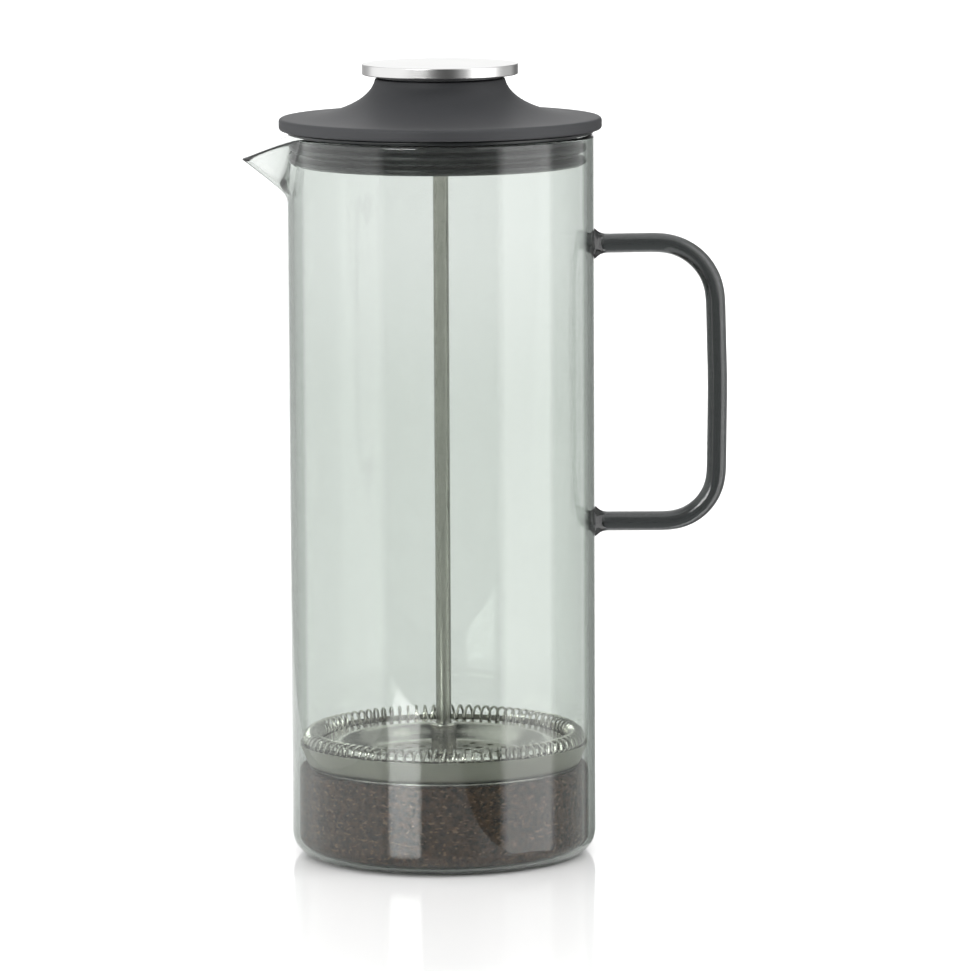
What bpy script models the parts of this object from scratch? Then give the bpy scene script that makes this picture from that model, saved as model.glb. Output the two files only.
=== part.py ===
"""French press: a tall smoked-glass jug with a fused glass handle, a plug-in lid and a plunger with a mesh filter.

Frame: metres, +Z up, origin at the middle of the jug's flat underside. The spout points along -X and the
handle along +X. The plunger is fully down, so the steel knob rests on the neck of the lid.
"""

import math

import bmesh
import bpy
from mathutils import Vector

MM = 0.001

# ---- driving dimensions ---------------------------------------------------------------------------------
# Clearances
MESH_GAP = 0.30 * MM            # between two pieces that touch on the real press
RUNNING_GAP = 0.15 * MM         # between the rod and the bush that it slides in

# Jug
JUG_RADIUS = 50.0 * MM          # outside
JUG_HEIGHT = 236.4 * MM
JUG_WALL = 2.2 * MM
JUG_FLOOR = 2.4 * MM
JUG_CORNER = 7.0 * MM           # outside radius between the wall and the underside

# Spout
SPOUT_HEIGHT = 22.0 * MM        # from where the wall starts to bulge up to the rim
SPOUT_REACH = 15.2 * MM         # how far the tip stands out past the wall
SPOUT_DROP = 7.7 * MM           # how far the lip dips at the tip
SPOUT_HALF_ANGLE = math.radians(24)
SPOUT_ROOT_HALF_ANGLE = math.radians(13)
SPOUT_BLEND = 0.16              # softness of the crease at the spout's root, as a share of its height

# Handle
HANDLE_RADIUS = 3.2 * MM        # of the glass rod
HANDLE_REACH = 39.6 * MM        # from the wall to the middle of the upright stretch
HANDLE_BELOW_RIM = 35.5 * MM    # from the rim down to the upper arm's centreline
HANDLE_SPAN = 92.1 * MM         # between the two arms' centrelines
HANDLE_BEND = 17.5 * MM         # centreline radius of the two corners
HANDLE_BOW = 0.6 * MM           # how far the upright stretch bows outwards
WELD_FLARE = 1.65               # radius of a weld over the rod's own
WELD_LENGTH = 4.5 * MM

# Lid
BRIM_OVERHANG = 2.5 * MM        # past the jug's wall
BRIM_THICKNESS = 4.0 * MM
BRIM_EDGE = 1.0 * MM            # rounding of the brim's two edges
BRIM_FLAT = 2.5 * MM            # from the foot of the flare to the brim's edge
NECK_RADIUS = 21.05 * MM
FLARE_HEIGHT = 13.5 * MM        # height of the quarter ellipse between the neck and the brim
FLARE_CUT = 0.9 * MM            # the neck's flat top lies this far below the top of that ellipse
COVER_WALL = 2.4 * MM

# Seal
SEAL_THICKNESS = 1.7 * MM       # wall between its bore and the grooves
SEAL_FLANGE = 0.9 * MM          # rests on the rim, under the brim
SEAL_DEPTH = 9.8 * MM           # how far it reaches down into the jug
SEAL_LIPS = 2
SEAL_LIP_HEIGHT = 2.5 * MM
SEAL_LIP_PITCH = 4.1 * MM

# Insert, bush and the small parts on it
INSERT_WALL = 2.0 * MM
INSERT_FLOOR = 2.0 * MM
INSERT_RECESS = 0.6 * MM        # its underside lies this far above the seal's lower edge
INSERT_BOSS_WALL = 1.1 * MM
INSERT_BOSS_HEIGHT = 17.0 * MM  # above its floor
WELL_WALL = 2.0 * MM            # of the tube that hangs from the neck's top and takes the knob's boss
BUSH_WALL = 1.85 * MM
BUSH_FLANGE_RADIUS = 7.2 * MM
BUSH_FLANGE = 1.0 * MM
BUSH_STANDS_OUT = 1.5 * MM      # above the insert's boss
ROD_SEAL_SECTION = 1.1 * MM     # diameter of the rubber ring's cord
CLIP_THICKNESS = 0.8 * MM
CLIP_WIDTH = 0.9 * MM
CLIP_OPENING = math.radians(50)

# Knob
KNOB_RADIUS = 25.4 * MM
KNOB_THICKNESS = 3.5 * MM
KNOB_EDGE = 0.35 * MM
KNOB_BOSS_RADIUS = 5.3 * MM
KNOB_BOSS_LENGTH = 7.4 * MM
KNOB_BOSS_ROOF = 1.0 * MM
KNOB_PAD = 0.7 * MM
KNOB_PAD_INSET = 0.7 * MM       # inside the neck's edge

# Plunger
ROD_RADIUS = 2.5 * MM
FILTER_HEIGHT = 29.0 * MM       # the cross plate's underside above the table, with the plunger down
CROSS_PLATE = 0.8 * MM
CROSS_INSET = 3.4 * MM          # its edge to the jug's bore
CROSS_WINDOWS = 6
CROSS_WINDOW_INNER = 11.0 * MM
CROSS_RING = 5.9 * MM           # width of the metal outside the windows
CROSS_SPOKE = 4.0 * MM          # width of the metal between two windows
NUT_RADIUS = 4.7 * MM           # to its corners
NUT_HEIGHT = 3.9 * MM
MESH_THICKNESS = 0.4 * MM
MESH_LEAN = 2.8 * MM            # how far its wall leans out from foot to edge
MESH_CLEARANCE = 0.4 * MM       # from its upper edge to the jug's bore
MESH_HEIGHT = 7.2 * MM
MESH_BEND = 1.5 * MM
EYELET_WIDTH = 1.9 * MM
COIL_RADIUS = 3.0 * MM          # of the coil of wire that presses the mesh's edge against the glass
COIL_STANDS_OUT = 3.9 * MM      # above the mesh's edge
SPIRAL_PLATE = 0.7 * MM
SPIRAL_RIM = 5.2 * MM           # width of the raised rim inside the coil
SPIRAL_SLOPE = 6.5 * MM         # width of the slope inside that
SPIRAL_RISE = 5.2 * MM          # from the plate's flat middle to its edge
SPIRAL_HOLE = 1.2 * MM          # radius of a hole
SPIRAL_HOLES = 24               # in each ring of holes
SPIRAL_HOLE_RINGS = (13.0 * MM, 19.0 * MM, 25.0 * MM)
WASHER_THICKNESS = 0.6 * MM
WASHER_RADIUS = 5.4 * MM
HUB_RADIUS = 4.2 * MM
HUB_COLLAR_RADIUS = 4.6 * MM
HUB_COLLAR = 0.9 * MM
HUB_HEIGHT = 10.1 * MM

# Facets
JUG_STEPS = 72
LID_STEPS = 48
KNOB_STEPS = 40
SMALL_STEPS = 20
HOLE_STEPS = 6

# ---- levels and radii worked out from them ----------------------------------------------------------------
JUG_BORE = JUG_RADIUS - JUG_WALL
HANDLE_TOP = JUG_HEIGHT - HANDLE_BELOW_RIM
HANDLE_BOTTOM = HANDLE_TOP - HANDLE_SPAN

BRIM_RADIUS = JUG_RADIUS + BRIM_OVERHANG
BRIM_UNDERSIDE = JUG_HEIGHT + SEAL_FLANGE + 2 * MESH_GAP
BRIM_TOP = BRIM_UNDERSIDE + BRIM_THICKNESS
FLARE_RADIUS = BRIM_RADIUS - BRIM_FLAT          # where the flare meets the brim
NECK_TOP = BRIM_TOP + FLARE_HEIGHT - FLARE_CUT

SEAL_BOTTOM = JUG_HEIGHT - SEAL_DEPTH
SEAL_LIP_RADIUS = JUG_BORE - MESH_GAP
SEAL_GROOVE_RADIUS = SEAL_LIP_RADIUS - 3.0 * MM
SEAL_BORE = SEAL_GROOVE_RADIUS - SEAL_THICKNESS
SEAL_FLANGE_RADIUS = JUG_RADIUS - 0.2 * MM

INSERT_RADIUS = SEAL_BORE - MESH_GAP
INSERT_BOTTOM = SEAL_BOTTOM + INSERT_RECESS
INSERT_TOP = BRIM_TOP - COVER_WALL - MESH_GAP
BUSH_BORE = ROD_RADIUS + RUNNING_GAP
BUSH_RADIUS = BUSH_BORE + BUSH_WALL
BOSS_BORE = BUSH_RADIUS + MESH_GAP
BOSS_RADIUS = BOSS_BORE + INSERT_BOSS_WALL
BOSS_TOP = INSERT_BOTTOM + INSERT_FLOOR + INSERT_BOSS_HEIGHT
BUSH_TOP = BOSS_TOP + BUSH_STANDS_OUT
BUSH_BOTTOM = INSERT_BOTTOM - MESH_GAP - BUSH_FLANGE
WELL_RADIUS = max(BOSS_RADIUS, KNOB_BOSS_RADIUS) + MESH_GAP
WELL_BOTTOM = BOSS_TOP - 5.0 * MM
ROD_SEAL_RADIUS = BUSH_BORE + RUNNING_GAP + ROD_SEAL_SECTION / 2
ROD_SEAL_SEAT = ROD_SEAL_RADIUS + ROD_SEAL_SECTION / 2 + RUNNING_GAP

KNOB_PAD_BOTTOM = NECK_TOP + MESH_GAP
KNOB_BOTTOM = KNOB_PAD_BOTTOM + KNOB_PAD + MESH_GAP
KNOB_BOSS_TOP = KNOB_BOTTOM - MESH_GAP
KNOB_BOSS_BOTTOM = KNOB_BOSS_TOP - KNOB_BOSS_LENGTH
ROD_TOP = KNOB_BOSS_TOP - KNOB_BOSS_ROOF - MESH_GAP

ROD_HOLE = ROD_RADIUS + MESH_GAP                # in every piece that is fixed to the rod
CROSS_RADIUS = JUG_BORE - CROSS_INSET
CROSS_WINDOW_OUTER = CROSS_RADIUS - CROSS_RING
MESH_RADIUS = JUG_BORE - MESH_CLEARANCE
MESH_FOOT_RADIUS = MESH_RADIUS - MESH_LEAN
CROSS_TOP = FILTER_HEIGHT + CROSS_PLATE
NUT_TOP = FILTER_HEIGHT - MESH_GAP
NUT_BOTTOM = NUT_TOP - NUT_HEIGHT
ROD_BOTTOM = NUT_BOTTOM + MESH_GAP
MESH_BOTTOM = CROSS_TOP + MESH_GAP
MESH_TOP = MESH_BOTTOM + MESH_THICKNESS
MESH_EDGE = MESH_BOTTOM + MESH_HEIGHT
COIL_CENTRE = MESH_RADIUS - MESH_THICKNESS - 2 * MESH_GAP - COIL_RADIUS
COIL_HEIGHT = MESH_EDGE + COIL_STANDS_OUT - COIL_RADIUS
SPIRAL_BOTTOM = MESH_TOP + MESH_GAP
SPIRAL_TOP = SPIRAL_BOTTOM + SPIRAL_PLATE
SPIRAL_RADIUS = COIL_CENTRE - COIL_RADIUS - MESH_GAP
SPIRAL_SLOPE_RADIUS = SPIRAL_RADIUS - SPIRAL_RIM
SPIRAL_FLAT_RADIUS = SPIRAL_SLOPE_RADIUS - SPIRAL_SLOPE
WASHER_BOTTOM = SPIRAL_TOP + MESH_GAP
HUB_BOTTOM = WASHER_BOTTOM + WASHER_THICKNESS + MESH_GAP
HUB_TOP = HUB_BOTTOM + HUB_HEIGHT


# ---- helpers ----------------------------------------------------------------------------------------------
def clear_scene():
    for old in list(bpy.data.objects):
        bpy.data.objects.remove(old)


def finish(name, colour, roughness, metallic=0.0, alpha=1.0):
    """A Principled material."""
    made = bpy.data.materials.new(name)
    made.use_nodes = True
    shader = made.node_tree.nodes["Principled BSDF"]
    shader.inputs["Base Color"].default_value = (*colour, 1.0)
    shader.inputs["Roughness"].default_value = roughness
    shader.inputs["Metallic"].default_value = metallic
    shader.inputs["Alpha"].default_value = alpha
    return made


def arc(centre, radii, start, end, steps):
    """Points (r, z) on an ellipse's arc, from the angle start to the angle end, in degrees."""
    return [
        (
            centre[0] + radii[0] * math.cos(math.radians(start + (end - start) * i / steps)),
            centre[1] + radii[1] * math.sin(math.radians(start + (end - start) * i / steps)),
        )
        for i in range(steps + 1)
    ]


def round_arc(centre, radius, start, end, steps):
    return arc(centre, (radius, radius), start, end, steps)


def mesh_object(name, bm, material, smooth_below=35):
    """Turns a bmesh into a named object at the origin, shaded smooth except at sharp edges."""
    mesh = bpy.data.meshes.new(name)
    bm.to_mesh(mesh)
    bm.free()
    mesh.shade_smooth()
    mesh.set_sharp_from_angle(angle=math.radians(smooth_below))
    made = bpy.data.objects.new(name, mesh)
    made.data.materials.append(material)
    bpy.context.scene.collection.objects.link(made)
    return made


def spun(profile, steps, closed, angle=2 * math.pi):
    """A bmesh turned about Z from (r, z) points. A closed profile makes a ring, an open one runs axis to axis."""
    bm = bmesh.new()
    verts = [bm.verts.new((r, 0.0, z)) for r, z in profile]
    pairs = list(zip(verts, verts[1:]))
    if closed:
        pairs.append((verts[-1], verts[0]))
    edges = [bm.edges.new(pair) for pair in pairs]
    whole = angle > 2 * math.pi - 1e-6
    bmesh.ops.spin(bm, geom=verts + edges, cent=(0, 0, 0), axis=(0, 0, 1), angle=angle, steps=steps, use_merge=whole)
    bmesh.ops.remove_doubles(bm, verts=bm.verts, dist=1e-7)
    if not whole:
        bmesh.ops.holes_fill(bm, edges=[e for e in bm.edges if e.is_boundary], sides=len(profile))
    bmesh.ops.recalc_face_normals(bm, faces=bm.faces)
    return bm


def turned(name, profile, steps, material, closed=True, **options):
    return mesh_object(name, spun(profile, steps, closed, **options), material)


def ring(name, inner, outer, bottom, top, steps, material, edge=0.0):
    """A plain ring, with its two outer edges broken by a small chamfer."""
    profile = [(inner, bottom), (outer - edge, bottom)]
    if edge:
        profile += [(outer, bottom + edge), (outer, top - edge)]
        profile += [(outer - edge, top), (inner, top)]
    else:
        profile += [(outer, top), (inner, top)]
        profile[1] = (outer, bottom)
    return turned(name, profile, steps, material)


def circle_loop(bm, centre, radius, steps, height):
    verts = [
        bm.verts.new(
            (
                centre[0] + radius * math.cos(2 * math.pi * i / steps),
                centre[1] + radius * math.sin(2 * math.pi * i / steps),
                height,
            )
        )
        for i in range(steps)
    ]
    return closed_edges(bm, verts)


def closed_edges(bm, verts):
    return [bm.edges.new((verts[i - 1], verts[i])) for i in range(len(verts))]


def sheet_to_plate(name, bm, thickness, material):
    """A flat or dished sheet made into a plate that stands upwards from it."""
    bmesh.ops.recalc_face_normals(bm, faces=bm.faces)
    if sum(f.normal.z * f.calc_area() for f in bm.faces) < 0:
        bmesh.ops.reverse_faces(bm, faces=bm.faces)
    made = mesh_object(name, bm, material)
    thick = made.modifiers.new("thickness", "SOLIDIFY")
    thick.thickness = thickness
    thick.offset = 1.0
    thick.use_even_offset = True
    return made


# ---- jug --------------------------------------------------------------------------------------------------
def spout_bulge(angle, height):
    """How far, from 0 to 1, the wall is pulled out at an angle from -X and a height."""
    share = (height - (JUG_HEIGHT - SPOUT_HEIGHT)) / SPOUT_HEIGHT
    if share <= 0:
        return 0.0
    rise = (math.hypot(share, SPOUT_BLEND) - SPOUT_BLEND) / (math.hypot(1, SPOUT_BLEND) - SPOUT_BLEND)
    half = SPOUT_ROOT_HALF_ANGLE + (SPOUT_HALF_ANGLE - SPOUT_ROOT_HALF_ANGLE) * min(share, 1.0)
    across = min(1.0, abs(angle) / half)
    return rise * (1 - across * across * (3 - 2 * across))


def pull_spout(bm):
    for vert in bm.verts:
        x, y, z = vert.co
        radius = math.hypot(x, y)
        if radius < 0.5 * JUG_RADIUS:
            continue
        bulge = spout_bulge(math.atan2(y, -x), z)
        vert.co = Vector((x * (1 + bulge * SPOUT_REACH / radius), y * (1 + bulge * SPOUT_REACH / radius),
                          z - bulge * SPOUT_DROP))


def make_jug(material):
    rim = JUG_WALL / 2
    wall_top = JUG_HEIGHT - rim
    spout_root = JUG_HEIGHT - SPOUT_HEIGHT
    inner_corner = max(JUG_CORNER - JUG_WALL, 0.4 * JUG_WALL)
    levels = [spout_root + (wall_top - spout_root) * i / 4 for i in range(4)]
    profile = [(0.0, 0.0)]
    profile += round_arc((JUG_RADIUS - JUG_CORNER, JUG_CORNER), JUG_CORNER, -90, 0, 3)
    profile += [(JUG_RADIUS, level) for level in levels]
    profile += round_arc((JUG_RADIUS - rim, wall_top), rim, 0, 180, 4)
    profile += [(JUG_BORE, level) for level in reversed(levels)]
    profile += round_arc((JUG_BORE - inner_corner, JUG_FLOOR + inner_corner), inner_corner, 0, -90, 2)
    profile.append((0.0, JUG_FLOOR))
    bm = spun(profile, JUG_STEPS, closed=False)
    pull_spout(bm)
    return mesh_object("jug_glass", bm, material)


def handle_line():
    """(place, share of the rod's radius) along the handle's centreline, from the upper weld to the lower one."""
    wall = JUG_RADIUS + MESH_GAP
    upright = JUG_RADIUS + HANDLE_REACH
    flare = [
        (wall + WELD_LENGTH * s, 1 + (WELD_FLARE - 1) * (1 - s) ** 3) for s in (0.0, 0.12, 0.28, 0.5, 0.75, 1.0)
    ]
    bend = upright - HANDLE_BEND
    upper = round_arc((bend, HANDLE_TOP - HANDLE_BEND), HANDLE_BEND, 90, 0, 8)
    lower = round_arc((bend, HANDLE_BOTTOM + HANDLE_BEND), HANDLE_BEND, 0, -90, 8)
    middle = (HANDLE_TOP + HANDLE_BOTTOM) / 2
    half = (HANDLE_TOP - HANDLE_BOTTOM) / 2 - HANDLE_BEND
    bowed = [
        (upright + HANDLE_BOW * (1 - share * share), middle + half * share) for share in (0.66, 0.33, 0.0, -0.33, -0.66)
    ]
    line = [((x, HANDLE_TOP), swell) for x, swell in flare]
    line += [(point, 1.0) for point in upper + bowed + lower]
    line += [((x, HANDLE_BOTTOM), swell) for x, swell in reversed(flare)]
    return line


def make_handle(material):
    """The handle stands 0.3 mm off the wall that its two ends are fused to."""
    points = handle_line()
    curve = bpy.data.curves.new("jug_handle", "CURVE")
    curve.dimensions = "3D"
    curve.bevel_depth = HANDLE_RADIUS
    curve.bevel_resolution = 3
    curve.use_fill_caps = True
    spline = curve.splines.new("POLY")
    spline.points.add(len(points) - 1)
    for point, ((x, z), swell) in zip(spline.points, points):
        point.co = (x, 0.0, z, 1.0)
        point.radius = swell
    curve.materials.append(material)
    made = bpy.data.objects.new("jug_handle", curve)
    bpy.context.scene.collection.objects.link(made)
    return made


# ---- lid --------------------------------------------------------------------------------------------------
def flare(shrink, start, end, steps):
    """The quarter ellipse between neck and brim, moved inwards by shrink to make the cover's inner face."""
    centre = (FLARE_RADIUS, BRIM_TOP + FLARE_HEIGHT)
    radii = (FLARE_RADIUS - NECK_RADIUS + shrink, FLARE_HEIGHT + shrink)
    return arc(centre, radii, start, end, steps)


def make_lid_cover(material):
    """A shell: brim, flare and neck outside, and a tube down the middle that the knob's boss drops into."""
    cut = math.degrees(math.asin(FLARE_CUT / FLARE_HEIGHT))
    outer = flare(0.0, 180 + cut, 270, 9)
    edge = round_arc((BRIM_RADIUS - BRIM_EDGE, BRIM_TOP - BRIM_EDGE), BRIM_EDGE, 90, 0, 2)
    edge += round_arc((BRIM_RADIUS - BRIM_EDGE, BRIM_UNDERSIDE + BRIM_EDGE), BRIM_EDGE, 0, -90, 2)
    socket = INSERT_RADIUS + MESH_GAP
    ceiling = NECK_TOP - COVER_WALL
    inner = [(r, z) for r, z in flare(COVER_WALL, 181, 268, 6) if r < socket - COVER_WALL and z < ceiling - 0.5 * MM]
    neck_bore = inner[0][0]
    profile = [(WELL_RADIUS, NECK_TOP)] + outer + edge
    profile += [(socket, BRIM_UNDERSIDE), (socket, BRIM_TOP - COVER_WALL)]
    profile += list(reversed(inner)) + [(neck_bore, ceiling)]
    profile += [(WELL_RADIUS + WELL_WALL, ceiling), (WELL_RADIUS + WELL_WALL, WELL_BOTTOM), (WELL_RADIUS, WELL_BOTTOM)]
    return turned("lid_cover", profile, LID_STEPS, material)


def make_lid_insert(material):
    """A cup that closes the cover from below and carries the seal outside and the bush in its middle."""
    floor_top = INSERT_BOTTOM + INSERT_FLOOR
    profile = [
        (BOSS_BORE, INSERT_BOTTOM),
        (INSERT_RADIUS, INSERT_BOTTOM),
        (INSERT_RADIUS, INSERT_TOP),
        (INSERT_RADIUS - INSERT_WALL, INSERT_TOP),
        (INSERT_RADIUS - INSERT_WALL, floor_top),
        (BOSS_RADIUS, floor_top),
        (BOSS_RADIUS, BOSS_TOP),
        (BOSS_BORE, BOSS_TOP),
    ]
    return turned("lid_insert", profile, LID_STEPS, material)


def make_lid_seal(material):
    """Soft ring with a flange on the rim and lips that press against the jug's bore."""
    flange_bottom = JUG_HEIGHT + MESH_GAP
    flange_top = flange_bottom + SEAL_FLANGE
    profile = [(SEAL_BORE, SEAL_BOTTOM)]
    for lip in range(SEAL_LIPS):
        middle = SEAL_BOTTOM + SEAL_LIP_HEIGHT / 2 + lip * SEAL_LIP_PITCH
        radii = (SEAL_LIP_RADIUS - SEAL_GROOVE_RADIUS, SEAL_LIP_HEIGHT / 2)
        profile += arc((SEAL_GROOVE_RADIUS, middle), radii, -90, 90, 4)
    profile += [
        (SEAL_GROOVE_RADIUS, flange_bottom),
        (SEAL_FLANGE_RADIUS, flange_bottom),
        (SEAL_FLANGE_RADIUS, flange_top),
        (SEAL_BORE, flange_top),
    ]
    return turned("lid_seal", profile, LID_STEPS, material)


def make_rod_bush(material):
    """Plain bearing sleeve, flanged under the insert, with a counterbore for the rod's rubber ring at its top."""
    flange_top = BUSH_BOTTOM + BUSH_FLANGE
    seat = BUSH_TOP - ROD_SEAL_SECTION - 2 * RUNNING_GAP
    profile = [
        (BUSH_BORE, BUSH_BOTTOM),
        (BUSH_FLANGE_RADIUS, BUSH_BOTTOM),
        (BUSH_FLANGE_RADIUS, flange_top),
        (BUSH_RADIUS, flange_top),
        (BUSH_RADIUS, BUSH_TOP),
        (ROD_SEAL_SEAT, BUSH_TOP),
        (ROD_SEAL_SEAT, seat),
        (BUSH_BORE, seat),
    ]
    return turned("rod_bush", profile, SMALL_STEPS, material)


def make_rod_seal(material):
    height = BUSH_TOP - RUNNING_GAP - ROD_SEAL_SECTION / 2
    section = round_arc((ROD_SEAL_RADIUS, height), ROD_SEAL_SECTION / 2, 0, 360, 8)[:-1]
    return turned("rod_seal", section, SMALL_STEPS, material)


def make_bush_clip(material):
    """Split ring that grips the bush above the insert's boss."""
    inner = BUSH_RADIUS + RUNNING_GAP
    outer = min(inner + CLIP_WIDTH, WELL_RADIUS - MESH_GAP)
    bottom = BOSS_TOP + MESH_GAP
    profile = [(inner, bottom), (outer, bottom), (outer, bottom + CLIP_THICKNESS), (inner, bottom + CLIP_THICKNESS)]
    return turned("bush_clip", profile, SMALL_STEPS, material, angle=2 * math.pi - CLIP_OPENING)


# ---- knob -------------------------------------------------------------------------------------------------
def make_knob_disc(material):
    top = KNOB_BOTTOM + KNOB_THICKNESS
    profile = [
        (0.0, KNOB_BOTTOM),
        (KNOB_RADIUS - KNOB_EDGE, KNOB_BOTTOM),
        (KNOB_RADIUS, KNOB_BOTTOM + KNOB_EDGE),
        (KNOB_RADIUS, top - KNOB_EDGE),
        (KNOB_RADIUS - KNOB_EDGE, top),
        (0.0, top),
    ]
    return turned("knob_disc", profile, KNOB_STEPS, material, closed=False)


def make_knob_boss(material):
    """Threaded boss under the disc. The rod's end sits in its blind bore."""
    roof = KNOB_BOSS_TOP - KNOB_BOSS_ROOF
    profile = [
        (0.0, KNOB_BOSS_TOP),
        (KNOB_BOSS_RADIUS, KNOB_BOSS_TOP),
        (KNOB_BOSS_RADIUS, KNOB_BOSS_BOTTOM),
        (ROD_HOLE, KNOB_BOSS_BOTTOM),
        (ROD_HOLE, roof),
        (0.0, roof),
    ]
    return turned("knob_boss", profile, SMALL_STEPS, material, closed=False)


def make_knob_pad(material):
    inner = KNOB_BOSS_RADIUS + MESH_GAP
    outer = NECK_RADIUS - KNOB_PAD_INSET
    return ring("knob_pad", inner, outer, KNOB_PAD_BOTTOM, KNOB_PAD_BOTTOM + KNOB_PAD, KNOB_STEPS, material)


# ---- plunger ----------------------------------------------------------------------------------------------
def make_rod(material):
    tip = 0.4 * MM
    profile = [
        (0.0, ROD_BOTTOM),
        (ROD_RADIUS - tip, ROD_BOTTOM),
        (ROD_RADIUS, ROD_BOTTOM + tip),
        (ROD_RADIUS, ROD_TOP - tip),
        (ROD_RADIUS - tip, ROD_TOP),
        (0.0, ROD_TOP),
    ]
    return turned("plunger_rod", profile, SMALL_STEPS, material, closed=False)


def make_filter_hub(material):
    """Threaded sleeve on the rod that the plates are clamped against."""
    collar = HUB_TOP - HUB_COLLAR
    slope = HUB_COLLAR_RADIUS - HUB_RADIUS
    profile = [
        (ROD_HOLE, HUB_BOTTOM),
        (HUB_RADIUS, HUB_BOTTOM),
        (HUB_RADIUS, collar - slope),
        (HUB_COLLAR_RADIUS, collar),
        (HUB_COLLAR_RADIUS, HUB_TOP - slope),
        (HUB_RADIUS, HUB_TOP),
        (ROD_HOLE, HUB_TOP),
    ]
    return turned("filter_hub", profile, SMALL_STEPS, material)


def make_spiral_plate(material):
    """Perforated plate: flat in the middle, then a slope up to the rim that carries the coil."""
    bm = bmesh.new()
    edges = circle_loop(bm, (0, 0), ROD_HOLE, SMALL_STEPS // 2, SPIRAL_BOTTOM)
    rim = circle_loop(bm, (0, 0), SPIRAL_FLAT_RADIUS, LID_STEPS, SPIRAL_BOTTOM)
    for radius in SPIRAL_HOLE_RINGS:
        for i in range(SPIRAL_HOLES):
            angle = 2 * math.pi * (i + 0.5) / SPIRAL_HOLES
            centre = (radius * math.cos(angle), radius * math.sin(angle))
            edges += circle_loop(bm, centre, SPIRAL_HOLE, HOLE_STEPS, SPIRAL_BOTTOM)
    bmesh.ops.triangle_fill(bm, edges=edges + rim, use_beauty=True, normal=(0, 0, 1))
    radius = SPIRAL_FLAT_RADIUS
    for next_radius in (SPIRAL_SLOPE_RADIUS, SPIRAL_RADIUS):
        raised = bmesh.ops.extrude_edge_only(bm, edges=rim)["geom"]
        for vert in (v for v in raised if isinstance(v, bmesh.types.BMVert)):
            share = next_radius / radius
            vert.co = Vector((vert.co.x * share, vert.co.y * share, SPIRAL_BOTTOM + SPIRAL_RISE))
        rim = [e for e in raised if isinstance(e, bmesh.types.BMEdge)]
        radius = next_radius
    return sheet_to_plate("spiral_plate", bm, SPIRAL_PLATE, material)


def make_edge_coil(material):
    """The outer shape of the wire coil that is wound round the plate's edge."""
    section = round_arc((COIL_CENTRE, COIL_HEIGHT), COIL_RADIUS, 0, 360, 8)[:-1]
    return turned("edge_coil", section, LID_STEPS, material)


def make_mesh_screen(material):
    """Fine wire cloth pressed into a shallow dish, with a wall that leans out to the glass."""
    hole = ROD_HOLE + MESH_GAP + EYELET_WIDTH
    lean = math.atan2(MESH_RADIUS - MESH_FOOT_RADIUS, MESH_HEIGHT)
    turn = 90 - math.degrees(lean)
    centre = (MESH_FOOT_RADIUS - MESH_BEND * math.tan(math.radians(turn / 2)), MESH_BOTTOM + MESH_BEND)
    side = MESH_THICKNESS / math.cos(lean)
    profile = [(hole, MESH_BOTTOM)]
    profile += round_arc(centre, MESH_BEND, -90, -90 + turn, 3)
    profile += [(MESH_RADIUS, MESH_EDGE), (MESH_RADIUS - side, MESH_EDGE)]
    profile += round_arc(centre, MESH_BEND - MESH_THICKNESS, -90 + turn, -90, 2)
    profile.append((hole, MESH_TOP))
    return turned("mesh_screen", profile, LID_STEPS, material)


def window_loop(bm, turn, height):
    """The outline of one window in the cross plate: a sector with straight spokes on both sides."""
    half = math.pi / CROSS_WINDOWS
    points = []
    for radius, way in ((CROSS_WINDOW_OUTER, 1), (CROSS_WINDOW_INNER, -1)):
        side = half - math.asin(CROSS_SPOKE / 2 / radius)
        steps = 6 if way > 0 else 2
        points += [(radius, turn + way * side * (2 * i / steps - 1)) for i in range(steps + 1)]
    verts = [bm.verts.new((r * math.cos(a), r * math.sin(a), height)) for r, a in points]
    return closed_edges(bm, verts)


def make_cross_plate(material):
    """Carrier plate under the mesh, cut open into windows between spokes."""
    bm = bmesh.new()
    edges = circle_loop(bm, (0, 0), ROD_HOLE, SMALL_STEPS // 2, FILTER_HEIGHT)
    edges += circle_loop(bm, (0, 0), CROSS_RADIUS, LID_STEPS, FILTER_HEIGHT)
    for i in range(CROSS_WINDOWS):
        edges += window_loop(bm, 2 * math.pi * i / CROSS_WINDOWS, FILTER_HEIGHT)
    bmesh.ops.triangle_fill(bm, edges=edges, use_beauty=True, normal=(0, 0, 1))
    return sheet_to_plate("cross_plate", bm, CROSS_PLATE, material)


def make_cross_nut(material):
    """Hexagon nut on the rod's lower end."""
    bm = bmesh.new()
    outline = circle_loop(bm, (0, 0), NUT_RADIUS, 6, NUT_BOTTOM)
    hole = circle_loop(bm, (0, 0), ROD_HOLE, SMALL_STEPS // 2, NUT_BOTTOM)
    bmesh.ops.triangle_fill(bm, edges=outline + hole, use_beauty=True, normal=(0, 0, 1))
    return sheet_to_plate("cross_nut", bm, NUT_HEIGHT, material)


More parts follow.
